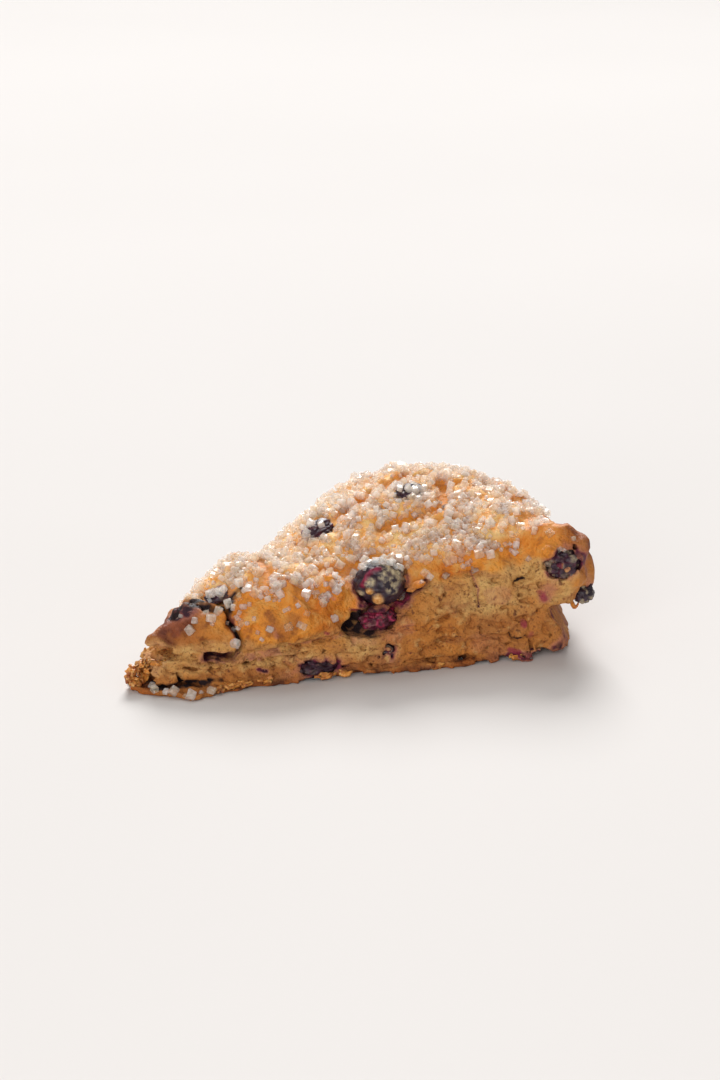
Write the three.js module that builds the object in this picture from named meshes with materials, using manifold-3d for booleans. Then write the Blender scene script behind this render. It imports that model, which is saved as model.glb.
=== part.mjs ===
// A wedge-shaped scone with whole and burst berries and coarse sugar baked onto its crust.
// Millimetres, +Z up. While it is shaped, the point of the wedge is at x = 0 on the ground, the
// rim lies towards +x, and the cut side with the large berry faces -y. At the end the whole thing
// is moved so that the middle of its base box is the origin.
import * as THREE from 'three';
import { mergeVertices } from 'three/addons/utils/BufferGeometryUtils.js';
import Module from 'manifold-3d';

const wasm = await Module();
wasm.setup();

// Driving dimensions
const HALF_ANGLE = THREE.MathUtils.degToRad(23); // one of eight wedges of a round, baked wider
const TIP_HALF = 5; // half the width of the blunt point
const RIM_CENTRE = 36; // the rim is an arc about this x
const RIM_RADIUS = 68;
const RIM_CORNER = 7; // rounding between rim and cut sides
// height of the crust along the middle line, from the point to the rim: [x, z]
const RIDGE = [[-12, 8.5], [0, 11], [8, 14], [16, 17], [30, 21.5], [50, 27], [70, 31.8], [84, 33.2],
  [96, 29.5], [110, 21]];
const BACK_DROP = 15; // how much lower the crust is at each cut side than in the middle
const FRONT_DROP = 11;
const SHOULDER = 8; // rounding of the crust into the sides
const LAYER_TOP = 7.0; // top of the lower layer at the point
const BEAK_UNDERSIDE = 9.6; // the upper layer's underside, above the open mouth
const KNOB = { along: 92.5, depth: 6.5, z: 20, radii: [8.1, 8.1, 8.8] }; // rim corner over its foot
const NOTCH_START = 87.2; // distance towards the rim corner at which the notch under it begins
const NOTCH_CEILING = 11.6;
const NOTCH_SLOPE = 1.6;
const POCKET = { along: 48.6, depth: 0.2, z: 11.2, radii: [5.6, 4.4, 3.2] }; // torn open by berries
const SKIRT = { along: 6, depth: 3, length: 10.5, width: 7.4, thickness: 1.5 }; // torn bottom crust

// sampling step and reach of the dough, set so that no two sheets of its surface share an edge
const CELL = [3.6, 3.6, 2.0];
const REACH = { low: [-14.8, -50.8, -5], high: [112, 52, 42] };
const BELOW_GROUND = 2.5; // how far the dough is sampled under the ground before it is cut flat
const BERRY_GAP = 0.35; // between a berry and the dough around it
const BERRY_SEGMENTS = [10, 6];
const CRYSTALS = 128; // sugar crystals fused to the crust
const CRYSTAL_SIZE = [1.8, 2.5];
const CRYSTAL_SPACING = 4.2;
const CRYSTAL_SUNK = 0.3; // share of a crystal that is in the crust
const SKIRT_CRYSTALS = 5;
const SEED = 7;

const COS = Math.cos(HALF_ANGLE);
const SIN = Math.sin(HALF_ANGLE);

// Smooth blends and steps
function smoothMax(a, b, width) {
  const t = Math.min(Math.max(0.5 + 0.5 * (a - b) / width, 0), 1);
  return b + (a - b) * t + width * t * (1 - t);
}

function smoothMin(a, b, width) {
  return -smoothMax(-a, -b, width);
}

function step(low, high, value) {
  return THREE.MathUtils.smoothstep(value, low, high);
}

// Value noise from -1 to 1 on a lattice of step 1
function lattice(x, y, z, seed) {
  let h = Math.imul(x, 374761393) + Math.imul(y, 668265263) + Math.imul(z, 2147483647)
    + Math.imul(seed, 974634777);
  h = Math.imul(h ^ (h >>> 13), 1274126177);
  h = Math.imul(h ^ (h >>> 16), 2246822519);
  return ((h ^ (h >>> 15)) >>> 0) / 4294967296;
}

function noise(x, y, z, seed) {
  const cell = [x, y, z].map(Math.floor);
  const at = [x, y, z].map((v, i) => v - cell[i]);
  const weight = at.map((t) => t * t * t * (t * (t * 6 - 15) + 10));
  let sum = 0;
  for (const [i, j, k] of CORNERS) {
    const share = (i ? weight[0] : 1 - weight[0]) * (j ? weight[1] : 1 - weight[1])
      * (k ? weight[2] : 1 - weight[2]);
    sum += share * lattice(cell[0] + i, cell[1] + j, cell[2] + k, seed);
  }
  return sum * 2 - 1;
}

// Distances, negative inside
function ellipsoid(p, centre, radii) {
  const q = Math.hypot(...radii.map((r, i) => (p[i] - centre[i]) / r));
  return (q - 1) * Math.min(...radii);
}

function cone(p, a, b, radiusA, radiusB) {
  const ab = b.map((v, i) => v - a[i]);
  const ap = p.map((v, i) => v - a[i]);
  const length2 = ab.reduce((sum, v) => sum + v * v, 0);
  const dot = ab.reduce((sum, v, i) => sum + v * ap[i], 0);
  const t = Math.min(Math.max(dot / length2, 0), 1);
  return Math.hypot(...ap.map((v, i) => v - t * ab[i])) - radiusA - (radiusB - radiusA) * t;
}

// A point along the front cut side, at a depth behind it
function front(along, depth, z) {
  const out = TIP_HALF - depth;
  return [along * COS - out * SIN, -along * SIN - out * COS, z];
}

function ridge(x) {
  let i = 1;
  while (i < RIDGE.length - 1 && RIDGE[i][0] < x) i += 1;
  const [[x0, z0], [x1, z1]] = [RIDGE[i - 1], RIDGE[i]];
  return THREE.MathUtils.lerp(z0, z1, THREE.MathUtils.clamp((x - x0) / (x1 - x0), 0, 1));
}

function crustHeight(x, y) {
  const half = TIP_HALF + Math.max(x, 0) * SIN / COS;
  const drop = (y > 0 ? BACK_DROP : FRONT_DROP) * step(-6, 60, x);
  return ridge(x) - drop * Math.abs(y / half) ** 2.2;
}

// The dough as a field over space, negative inside
function dough(x, y, z) {
  const p = [x, y, z];
  const along = x * COS - y * SIN;
  const beyondFront = -x * SIN - y * COS - TIP_HALF;
  const beyondBack = -x * SIN + y * COS - TIP_HALF;
  const beyondRim = Math.hypot(x - RIM_CENTRE, y) - RIM_RADIUS;
  const narrow = 1 - step(2, 24, x);
  const wide = step(48, 64, along);

  // lower layer, a little wider at the very bottom, lifted off the ground at point and foot
  const bottomCrust = 1.5 * (1 - step(0.4, 2.6, z));
  let lowerPlan = smoothMax(beyondFront + 0.2, beyondBack, 2.5);
  lowerPlan = smoothMax(lowerPlan, beyondRim + 1, RIM_CORNER);
  lowerPlan = smoothMax(lowerPlan, -x - 3.5 + 0.5 * z, 3) - bottomCrust;
  const layerTop = LAYER_TOP - 1.6 * step(2, 17, along) + 7 * step(20, 60, x);
  const lift = 2.2 * narrow * step(-7, -1, lowerPlan)
    + 1.8 * step(84, 93, along) * step(-14, -3, lowerPlan);
  let lower = smoothMax(lowerPlan, z - layerTop, 2);
  lower = smoothMax(lower, lift - z, 1);

  // upper layer with its bulging lobe, crust edge and pointed beak
  const inset = 3.6 * (1 - step(0, 17, x));
  const lobe = 2.2 * Math.exp(-(((along - 32) / 13) ** 2)) * Math.exp(-(((z - 16) / 7) ** 2));
  const crustEdge = wide * step(18.5, 20.5, z);
  let upperPlan = smoothMax(beyondFront + inset - lobe - crustEdge, beyondBack + inset - 0.5, 3);
  upperPlan = smoothMax(upperPlan, beyondRim, RIM_CORNER);
  upperPlan = smoothMax(upperPlan, -x + 2, 3);
  let upper = smoothMax(upperPlan + 0.6, z - crustHeight(x, y), SHOULDER);
  upper = smoothMin(upper, cone(p, [1.4, 3, 10.9], [17, 0, 13.6], 2.1, 5.6), 2);
  const underside = BEAK_UNDERSIDE - 0.8 * (1 - narrow) - 5 * step(20, 40, x);
  upper = smoothMax(upper, underside - z, 1.2);

  // what joins the layers behind the mouth, and the corner over the foot
  const core = smoothMax(lowerPlan + 5.5, Math.abs(z - 8) - 5, 2);
  let shape = smoothMin(lower, upper, 0.4 + 2.6 * step(18, 55, along));
  shape = smoothMin(shape, core, 1.5);
  shape = smoothMin(shape, ellipsoid(p, front(KNOB.along, KNOB.depth, KNOB.z), KNOB.radii), 3);

  // uneven surface: knobbly and furrowed on the crust, calmer at the sides
  const crust = step(-6, 1, z - crustHeight(x, y));
  const furrow = Math.exp(-((noise(x / 11, y / 11, z / 11, 5) / 0.13) ** 2));
  shape += 0.8 * noise(x / 15, y / 15, z / 15, 1)
    + (0.4 + 0.5 * crust) * noise(x / 6.5, y / 6.5, z / 6.5, 2) + 0.9 * crust * furrow;

  // torn pocket below the large berry and notch below the rim corner
  shape = smoothMax(shape, -ellipsoid(p, front(POCKET.along, POCKET.depth, POCKET.z), POCKET.radii), 1);
  const toCorner = x * 0.772 - y * 0.636 - NOTCH_START;
  const notch = smoothMax(z - NOTCH_CEILING, 10.2 - NOTCH_SLOPE * toCorner - z, 1.5);
  shape = smoothMax(shape, -smoothMax(notch, -toCorner, 1), 1.2);

  // torn bottom crust that spreads on the ground at the point
  const spread = Math.hypot((along - SKIRT.along) / SKIRT.length,
    (beyondFront + SKIRT.depth) / SKIRT.width) - 1;
  const ragged = spread * SKIRT.width + 0.8 * noise(x / 4, y / 4, z / 4, 4);
  shape = smoothMin(shape, smoothMax(ragged, z - SKIRT.thickness, 0.8), 0.6);
  return Math.max(shape, -BELOW_GROUND - z);
}

// Closed surface of a field by surface nets: one point in each cell that the surface crosses
const CORNERS = [0, 1, 2, 3, 4, 5, 6, 7].map((n) => [n >> 2 & 1, n >> 1 & 1, n & 1]);
const EDGES = CORNERS.flatMap((a) => [0, 1, 2].filter((axis) => !a[axis]).map((axis) => {
  const b = [...a];
  b[axis] = 1;
  return [a, b];
}));

function surfaceNets(field, low, high, cell) {
  const count = cell.map((size, i) => Math.ceil((high[i] - low[i]) / size) + 1);
  const at = (i, j, k) => (i * count[1] + j) * count[2] + k;
  const values = new Float64Array(count[0] * count[1] * count[2]);
  const place = (i, j, k) => [i, j, k].map((n, axis) => low[axis] + n * cell[axis]);
  for (let i = 0; i < count[0]; i += 1) {
    for (let j = 0; j < count[1]; j += 1) {
      for (let k = 0; k < count[2]; k += 1) values[at(i, j, k)] = field(...place(i, j, k));
    }
  }
  const positions = [];
  const index = new Map();
  for (let i = 0; i < count[0] - 1; i += 1) {
    for (let j = 0; j < count[1] - 1; j += 1) {
      for (let k = 0; k < count[2] - 1; k += 1) {
        const sum = new THREE.Vector3();
        let crossings = 0;
        for (const [a, b] of EDGES) {
          const va = values[at(i + a[0], j + a[1], k + a[2])];
          const vb = values[at(i + b[0], j + b[1], k + b[2])];
          if (va < 0 === vb < 0) continue;
          const point = new THREE.Vector3(...a).lerp(new THREE.Vector3(...b), va / (va - vb));
          sum.add(point);
          crossings += 1;
        }
        if (!crossings) continue;
        sum.divideScalar(crossings).add(new THREE.Vector3(i, j, k));
        index.set(at(i, j, k), positions.length / 3);
        positions.push(...sum.toArray().map((n, axis) => low[axis] + n * cell[axis]));
      }
    }
  }
  const triangles = [];
  for (let i = 1; i < count[0] - 1; i += 1) {
    for (let j = 1; j < count[1] - 1; j += 1) {
      for (let k = 1; k < count[2] - 1; k += 1) {
        const here = [i, j, k];
        for (let axis = 0; axis < 3; axis += 1) {
          const next = [...here];
          next[axis] += 1;
          const inside = values[at(...here)] < 0;
          if (inside === values[at(...next)] < 0) continue;
          const u = (axis + 1) % 3;
          const v = (axis + 2) % 3;
          const quad = [[1, 1], [0, 1], [0, 0], [1, 0]].map(([du, dv]) => {
            const c = [...here];
            c[u] -= du;
            c[v] -= dv;
            return index.get(at(...c));
          });
          if (!inside) quad.reverse();
          triangles.push(quad[0], quad[1], quad[2], quad[0], quad[2], quad[3]);
        }
      }
    }
  }
  const geometry = new THREE.BufferGeometry();
  geometry.setAttribute('position', new THREE.Float32BufferAttribute(positions, 3));
  geometry.setIndex(triangles);
  return geometry;
}

// Between three.js geometries and solids that can be joined and cut
function toSolid(geometry) {
  const bare = geometry.clone();
  bare.deleteAttribute('normal');
  bare.deleteAttribute('uv');
  const merged = mergeVertices(bare, 1e-5);
  return new wasm.Manifold(new wasm.Mesh({
    numProp: 3,
    vertProperties: Float32Array.from(merged.attributes.position.array),
    triVerts: Uint32Array.from(merged.index.array),
  }));
}

function toGeometry(solid) {
  const mesh = solid.getMesh();
  const geometry = new THREE.BufferGeometry();
  geometry.setAttribute('position', new THREE.BufferAttribute(mesh.vertProperties, 3));
  geometry.setIndex(new THREE.BufferAttribute(mesh.triVerts, 1));
  geometry.computeVertexNormals();
  return geometry;
}

function box(low, high) {
  const size = high.map((v, i) => v - low[i]);
  const centre = high.map((v, i) => (v + low[i]) / 2);
  return new THREE.BoxGeometry(...size).translate(...centre);
}

// Berries: name, centre, radii and tilt about y in degrees
const BERRIES = [
  ['front_berry', front(51.8, 5.9, 19), [6.2, 5.4, 5], 0],
  ['torn_berry', front(51.4, 4.6, 10.9), [4.6, 3.4, 2.4], 0],
  ['small_berry', front(52.2, 0.9, 4.4), [2, 2, 2], 0],
  ['base_berry', front(37, 1.8, 2.4), [5.6, 2.6, 1.9], 0],
  ['rim_berry', front(92.6, 1.4, 21.6), [4.3, 3.4, 3.8], 0],
  ['overhang_berry', front(97.5, 5, 13.6), [2.4, 2.4, 2], 0],
  ['beak_berry', [10.2, 0.6, 16.2], [3.6, 2.6, 1.7], -22],
  ['crack_berry', [17.4, -1, 17.8], [3.1, 2.4, 1.6], -14],
  ['ridge_berry', [50.2, 5, 25.8], [3.6, 3, 2.2], -10],
  ['top_berry', [71.2, -2, 31], [3.6, 3, 2.2], -4],
  ['back_tip_berry', [25, 14.6, 8.6], [3.2, 2.8, 2.8], 0],
  ['back_berry', [54, 27.6, 12.4], [5.2, 4.4, 4.6], 0],
  ['back_low_berry', [80, 36.8, 6.4], [4, 3.6, 3.6], 0],
  ['rim_side_berry', [101.2, 9.4, 14], [4.2, 4.8, 4.2], 0],
  ['rim_low_berry', [98.6, -21.5, 9.5], [3.4, 3.8, 3.2], 0],
];

function berryGeometry([, centre, radii, tilt], extra = 0) {
  return new THREE.SphereGeometry(1, ...BERRY_SEGMENTS)
    .scale(...radii.map((r) => r + extra))
    .rotateY(THREE.MathUtils.degToRad(tilt))
    .translate(...centre);
}

// Seeded random numbers from 0 to 1
function randomSource(seed) {
  let draw = 0;
  return () => {
    draw += 1;
    return lattice(draw, 3 * draw, 7, seed);
  };
}

// How densely sugar lies at a place, from 0 to 1
function sugarDensity(point, normal) {
  const [x, y, z] = point.toArray();
  const along = x * COS - y * SIN;
  const depth = x * SIN + y * COS + TIP_HALF;
  const knob = new THREE.Vector3(...front(KNOB.along, KNOB.depth, KNOB.z)).distanceTo(point);
  const onTop = step(-8, -4, z - crustHeight(x, y)) * step(0.3, 0.6, normal.z);
  const lobeSide = 1 - 0.6 * step(20, 30, along) * (1 - step(2, 8, depth));
  return onTop * lobeSide * step(3, 12, x) * (0.15 + 0.85 * step(9, 12, knob));
}

function clearOfBerries(point, margin) {
  return BERRIES.every(([, centre, radii]) => {
    const grown = radii.map((r) => r + margin);
    return ellipsoid(point.toArray(), centre, grown) > 0;
  });
}

// Crystals on the dough's upper faces, thinned to an even spacing
function placeCrystals(surface) {
  const random = randomSource(SEED);
  const mesh = new THREE.Mesh(surface, new THREE.MeshBasicMaterial());
  const raycaster = new THREE.Raycaster();
  const down = new THREE.Vector3(0, 0, -1);
  const placed = [];
  const tryAt = (x, y, accept, size) => {
    raycaster.set(new THREE.Vector3(x, y, 60), down);
    const [hit] = raycaster.intersectObject(mesh);
    if (!hit || !accept(hit) || !clearOfBerries(hit.point, size)) return;
    if (placed.some(({ centre }) => centre.distanceTo(hit.point) < CRYSTAL_SPACING)) return;
    const turn = new THREE.Quaternion().setFromUnitVectors(new THREE.Vector3(0, 0, 1), hit.face.normal);
    const spin = new THREE.Euler(random() - 0.5, random() - 0.5, random() * Math.PI);
    turn.multiply(new THREE.Quaternion().setFromEuler(spin));
    const centre = hit.point.clone().addScaledVector(hit.face.normal, size * (0.5 - CRYSTAL_SUNK));
    placed.push({ centre, turn, size });
  };
  const pickSize = () => THREE.MathUtils.lerp(...CRYSTAL_SIZE, random());
  for (let tries = 0; tries < 60 * SKIRT_CRYSTALS && placed.length < SKIRT_CRYSTALS; tries += 1) {
    const [x, y] = front(THREE.MathUtils.lerp(-1, 13, random()), -0.5 - 3 * random(), 0);
    tryAt(x, y, (hit) => hit.point.z < 2 && hit.face.normal.z > 0.9, CRYSTAL_SIZE[0]);
  }
  for (let tries = 0; tries < 60 * CRYSTALS && placed.length < CRYSTALS; tries += 1) {
    const x = THREE.MathUtils.lerp(0, RIM_CENTRE + RIM_RADIUS, random());
    const y = THREE.MathUtils.lerp(-40, 40, random());
    tryAt(x, y, (hit) => random() < sugarDensity(hit.point, hit.face.normal), pickSize());
  }
  return placed;
}

function crystalGeometry({ centre, turn, size }) {
  return new THREE.BoxGeometry(size, size * 0.9, size * 0.95)
    .applyQuaternion(turn)
    .translate(...centre.toArray());
}

// Build the dough, cut it flat, seat the berries and fuse the sugar
const raw = toSolid(surfaceNets(dough, REACH.low, REACH.high, CELL));
const ground = toSolid(box([REACH.low[0], REACH.low[1], -20], [REACH.high[0], REACH.high[1], 0]));
let loaf = raw.subtract(ground);
for (const berry of BERRIES) loaf = loaf.subtract(toSolid(berryGeometry(berry, BERRY_GAP)));
const crystals = placeCrystals(toGeometry(loaf));
for (const crystal of crystals) loaf = loaf.add(toSolid(crystalGeometry(crystal)));

const doughMaterial = new THREE.MeshStandardMaterial({ color: '#c28a50', roughness: 0.75, metalness: 0 });
const berryMaterial = new THREE.MeshStandardMaterial({ color: '#3c2635', roughness: 0.45, metalness: 0 });

const scone = new THREE.Group();
const doughMesh = new THREE.Mesh(toGeometry(loaf), doughMaterial);
doughMesh.name = 'dough';
scone.add(doughMesh);
for (const berry of BERRIES) {
  const mesh = new THREE.Mesh(toGeometry(toSolid(berryGeometry(berry))), berryMaterial.clone());
  [mesh.name] = berry;
  scone.add(mesh);
}

const bounds = new THREE.Box3().setFromObject(scone, true);
const middle = bounds.getCenter(new THREE.Vector3());
scone.position.set(-middle.x, -middle.y, -bounds.min.z);
scone.updateMatrixWorld(true);

export default scone;
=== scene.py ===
"""Looks of a wedge-shaped scone: dough, berries, sugar crystals, flakes, floor, light and camera.

The dough is a field over space in millimetres, in which the point of the wedge is at x = 0 on the
ground, the rim lies towards +x and the cut side with the large berry faces -y. Berries of the frame
say where that shaping frame lies in the row frame.
"""
import math
from itertools import product
import bpy
import numpy as np
from mathutils import Euler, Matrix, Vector


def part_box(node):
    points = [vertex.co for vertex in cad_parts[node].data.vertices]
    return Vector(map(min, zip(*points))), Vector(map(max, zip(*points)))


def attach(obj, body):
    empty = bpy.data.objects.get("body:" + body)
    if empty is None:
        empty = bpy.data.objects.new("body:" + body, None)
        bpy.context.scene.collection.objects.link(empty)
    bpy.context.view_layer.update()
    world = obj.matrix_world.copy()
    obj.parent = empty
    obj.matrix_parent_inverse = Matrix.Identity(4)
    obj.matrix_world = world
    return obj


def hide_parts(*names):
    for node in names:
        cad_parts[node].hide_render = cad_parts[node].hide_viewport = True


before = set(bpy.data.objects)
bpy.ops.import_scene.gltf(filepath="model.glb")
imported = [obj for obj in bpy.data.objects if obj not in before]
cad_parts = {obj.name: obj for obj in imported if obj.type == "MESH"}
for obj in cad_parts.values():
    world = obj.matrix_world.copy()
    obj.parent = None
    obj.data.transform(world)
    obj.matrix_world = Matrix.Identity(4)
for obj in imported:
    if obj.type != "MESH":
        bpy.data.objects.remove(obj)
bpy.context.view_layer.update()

MM = 0.001

# Shape of the wedge, within about 2 mm of the solids
HALF_ANGLE = math.radians(23)
COS, SIN = math.cos(HALF_ANGLE), math.sin(HALF_ANGLE)
TIP_HALF = 5.0
RIM_CENTRE, RIM_RADIUS, RIM_CORNER = 36, 68, 7.0
RIDGE_X = (-12, 0, 8, 13, 18, 23, 28, 31.5, 36, 40, 44, 50, 54, 70, 84, 96, 110)
RIDGE_Z = (8.5, 12, 14.4, 16, 18.2, 21.6, 23.8, 22, 21.6,
           22, 22.9, 25.2, 27.2, 30.6, 32.9, 29.3, 21.4)
BACK_DROP, FRONT_DROP = 15, 11.0
SHOULDER = 8.0
LAYER_TOP = 6.4
BEAK_TIP, BEAK_MIDDLE, BEAK_ROOT = (-0.7, 1.6, 9.9), (4.5, 1.3, 11), (12.3, 0.5, 12)
BEAK_RADII = (0.9, 3.5, 5.1)
SKIRT_ALONG = (-5, -3.1, 1.5, 5.7, 11.2, 14.2, 18, 22)
SKIRT_REACH = (-4, -0.6, 2.2, 5.8, 3.8, 2.4, 2, 0.2)
UNDERSIDE_X, UNDERSIDE_Z = (-2, 2, 6, 9, 13, 26), (9.3, 8.2, 7.2, 6.9, 7, 1.8)
NOTCH_TOWARD, NOTCH_START = (0.772, -0.636), 87.2  # seen from above
NOTCH_CEILING, NOTCH_FLOOR, NOTCH_SLOPE = 11.6, 10.2, 1.6
CRUST_ALONG = (0, 18, 30, 45, 50, 61, 74, 88)  # where the crust ends on the cut sides
CRUST_LOWEST = (10.2, 9.2, 9.4, 11.5, 17, 18.3, 20.4, 22.2)

DOUGH_CELL = 0.46  # sampling step of the dough's surface
REACH = ((-14, -50, -2), (110, 50, 40))
RELIEF_REACH = 6  # how far from the main form the uneven surface is worked out
CRYSTAL_COUNT, CRYSTAL_SPACING, CRYSTAL_SIZE = 2350, 0.9, (0.85, 2.1)
CRYSTAL_BEVEL, CRYSTAL_JITTER = 0.1, 0.13
LOWEST = 0.05  # height of the lowest points of crystals and flakes
SEED = 11


def front(along, depth, z):
    """A point along the front cut side, at a depth behind it."""
    out = TIP_HALF - depth
    return (along * COS - out * SIN, -along * SIN - out * COS, z)


KNOB_CENTRE, KNOB_RADII = front(92.5, 6.5, 20), (8.1, 8.1, 8.8)
DRIP_CENTRE, DRIP_RADII = front(97, 4.2, 10.6), (1.1, 1, 1.7)
POCKET_CENTRE, POCKET_RADII = front(49, 0.4, 11.4), (5, 3.6, 2.8)

# Berries: centre, radii, tilt about y in degrees, then from 0 to 1 how wrinkled, dusty and torn
BERRIES = {
    "front_berry": (front(51.8, 5.9, 19), (6.2, 5.4, 5), 0, 0.4, 0.8, 0),
    "torn_berry": (front(50.9, 4.2, 11.6), (4.6, 3.4, 2.6), 0, 1, 0.15, 1),
    "small_berry": (front(52.2, 1.4, 4.5), (1.9, 1.9, 1.8), 0, 0.5, 0.6, 0.1),
    "base_berry": (front(37, 1.8, 2.4), (5.6, 2.6, 1.9), 0, 1, 0.1, 0.1),
    "rim_berry": (front(93.3, 1.4, 21.3), (4.5, 3.3, 3.5), 0, 1, 0.4, 0.12),
    "overhang_berry": (front(98.9, 4.2, 12.6), (2.8, 2.6, 2.6), 0, 0.7, 0.5, 0),
    "beak_berry": ((10.2, 0.4, 15.3), (3.8, 2.6, 1.4), -24, 0.9, 0.3, 0.1),
    "crack_berry": ((17.4, -1, 17.8), (3.1, 2.4, 1.6), -14, 0.9, 0.2, 0.1),
    "ridge_berry": ((50.2, 5, 24.8), (3.8, 3, 1.9), -14, 0.9, 0.1, 0.2),
    "top_berry": ((71.2, -2, 31), (3.6, 3, 2.2), -4, 0.9, 0.5, 0.1),
    "back_tip_berry": ((25, 14.6, 8.6), (3.2, 2.8, 2.8), 0, 0.6, 0.4, 0.1),
    "back_berry": ((54.6, 26.8, 10.6), (4.7, 4.1, 4), 0, 0.5, 0.6, 0.1),
    "back_low_berry": ((80, 36.8, 6.4), (4, 3.6, 3.6), 0, 0.8, 0.2, 0.5),
    "rim_side_berry": ((101.2, 9.4, 14), (4.2, 4.8, 4.2), 0, 0.6, 0.5, 0.2),
    "rim_low_berry": ((98.6, -21.5, 9.5), (3.4, 3.8, 3.2), 0, 0.8, 0.2, 0.3),
}

# Furrows over the crust: points (x, y) of a path, half width, depth
TOP_FURROWS = (
    (((86, 12), (78.4, 9), (74.5, 9), (62.5, 5), (57, 3.5)), 2.1, 2.6),
    (((73, -11.6), (65.3, -9.6), (58, -8)), 1.3, 2),
    (((81, -1.8), (77, -8), (73, -11.5)), 1.4, 2.4),
    (((86, -8), (80.5, -3.5)), 1.3, 1.6),
    (((50, -14), (43.5, -11), (39.5, -9.4)), 2.2, 1.2),
    (((92, -13.5), (87.5, -16)), 1.1, 1.6),
    (((12.5, -3.2), (20.4, -5.2)), 1.2, 1.4),
    (((36, 12), (44, 5), (50, 4)), 1.6, 1.8),
    (((60, 24), (70, 20), (84, 24)), 1.5, 2.2),
    (((30, 2), (27, -6), (24, -8)), 1.4, 1.2),
)
FURROW_PATHS = [row[:2] for row in TOP_FURROWS]

# Folds and tears in the front cut side: points (along, z) of a path, half width, depth
FRONT_FOLDS = (
    (((16.9, 13.4), (18.3, 11.8), (18.9, 9.4), (18.5, 7.2), (16.8, 6.5)), 0.6, 4.2),
    (((16.6, 18.2), (17.4, 16), (16.9, 13.4)), 0.55, 2.2),
    (((11.5, 6.9), (17.6, 6.3)), 0.8, 2.6),
    (((19.5, 6.9), (31.8, 8), (44, 9.6)), 0.5, 1.4),
    (((62, 18.4), (58.8, 16.8), (57.2, 15.4)), 0.7, 2.6),
    (((57.2, 15.4), (55, 13.8), (53.2, 12.2), (52.2, 10.6)), 1.5, 2.6),
    (((65.5, 19), (70, 19.7), (76, 19.9)), 0.35, 0.9),
    (((72.6, 19.4), (73.6, 16.2), (73.4, 12.6)), 0.32, 1.2),
    (((82, 17.1), (84.5, 17.7), (86.1, 18.8)), 0.42, 1.8),
    (((82.6, 15.8), (86, 16.2)), 0.35, 1.1),
    (((61.5, 9.6), (64.3, 10.8), (68.4, 11.8), (72, 10.8)), 0.5, 1),
    (((74, 9.6), (77, 8.4), (79, 8.4)), 0.35, 0.9),
    (((80, 6.2), (80.9, 4.9), (82.4, 4.6), (83.8, 5.3)), 0.38, 1.3),
    (((53.5, 9.2), (58, 9.7), (61, 9.2)), 0.4, 1),
    (((42, 2), (50, 1.7), (60, 2.1), (72, 1.6)), 0.4, 1.1),
    (((3, 5.6), (9, 4.6), (15, 4), (21, 4.6)), 0.4, 1.1),
    (((24, 5.6), (33, 6), (42, 5)), 0.45, 0.9),
    (((21.5, 13.6), (24, 11.4), (25.2, 9.4)), 0.6, 0.7),
    (((66, 6.4), (72, 5.2), (78, 5.8)), 0.4, 0.8),
)

# Lumps on the cut side: centre and radii
LUMPS = (
    ((37.6, -14.2, 19.6), (2.5, 2.2, 2.2)),
    ((38.9, -15.8, 17.2), (2.5, 2.2, 2)),
    (front(50.6, 1.3, 14.2), (3.6, 1.9, 1.2)),
    (front(60, 2.2, 18.9), (1.8, 1.6, 0.9)),
    (front(58.2, 1.8, 17.6), (1.8, 1.6, 0.9)),
    (front(55.9, 1.4, 16.3), (1.8, 1.5, 0.8)),
    (front(55.2, 0.7, 11.8), (2, 1.7, 1.9)),
    (front(51.8, 1, 9.4), (1.9, 1.2, 0.8)),
    (front(88.2, 0.7, 14), (1.9, 1.6, 1.8)),
    (front(90, 0.7, 16.6), (1.9, 1.6, 1.8)),
    (front(90.9, -1, 21.8), (1.3, 1.1, 0.8)),
    (front(95.8, 0.2, 17.9), (2.9, 1.8, 2.5)),
    (front(89, -0.2, 24.6), (2, 1.4, 1.5)),
    (front(91.4, 0.7, 2.9), (2.4, 2, 2.2)),
    (front(98.5, 5.2, 17.2), (3.3, 3.4, 5.4)),
)

# Where juice has coloured the front cut side, and painted shadow under the crust lip beside the large
# berry: points (along, z) of a path, half width, strength
FRONT_STAINS_AND_SHADE = (
    (((11, 6.8), (17.5, 6.3)), 1.1, 1),
    (((17.5, 6.2), (22, 6.3), (27, 7.2)), 0.7, 0.6),
    (((17.4, 14), (18.6, 9)), 0.8, 0.7),
    (((45, 8), (50, 8.7), (54, 8.3)), 1.5, 0.42),
    (((47.6, 15), (50.5, 14.4), (54.4, 14.6)), 1.5, 1),
    (((53.6, 13.6), (52.4, 10.8)), 1.2, 1),
    # painted shadow under the crust lip, in the dark purple of the juice
    (((62, 18.4), (58.8, 16.8), (57.2, 15.4)), 0.75, 1),
    (((57.2, 15.4), (55, 13.8)), 1.3, 1),
    (((55, 10.2), (57.2, 10.6)), 0.5, 0.7),
    (((72.6, 19.4), (73.6, 16.2), (73.4, 12.6)), 0.2, 1),
    (((88.2, 14), (90, 16.4)), 1.8, 0.45),
    (((90.6, 9.4), (91, 8.2)), 0.4, 0.9),
    (((80, 1.2), (87, 0.9)), 0.8, 0.9),
    (((22.6, 3.4), (24.4, 2.9)), 0.45, 1),
    (((30, 8.2), (38, 8.8), (42, 9.2)), 0.4, 0.5),
    (((39.4, 18.6), (40.6, 16.8)), 0.5, 0.6),
    (((52, 5.4), (52.4, 3.2)), 0.8, 0.5),
    (((66, 19.6), (76, 20.1)), 0.2, 0.4),
    (((25.6, 13.4), (26.4, 11)), 0.6, 0.45),
    (((91.2, 1.8), (93.6, 3.6)), 1.5, 0.85),
    (((91, 24), (94, 23.4), (97.8, 22.2)), 1.2, 0.9),
    (((89.6, 19.6), (92.6, 19.2)), 1.4, 0.95),
    (((97.6, 21.5), (99.6, 15.5)), 1, 0.5),
)

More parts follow.
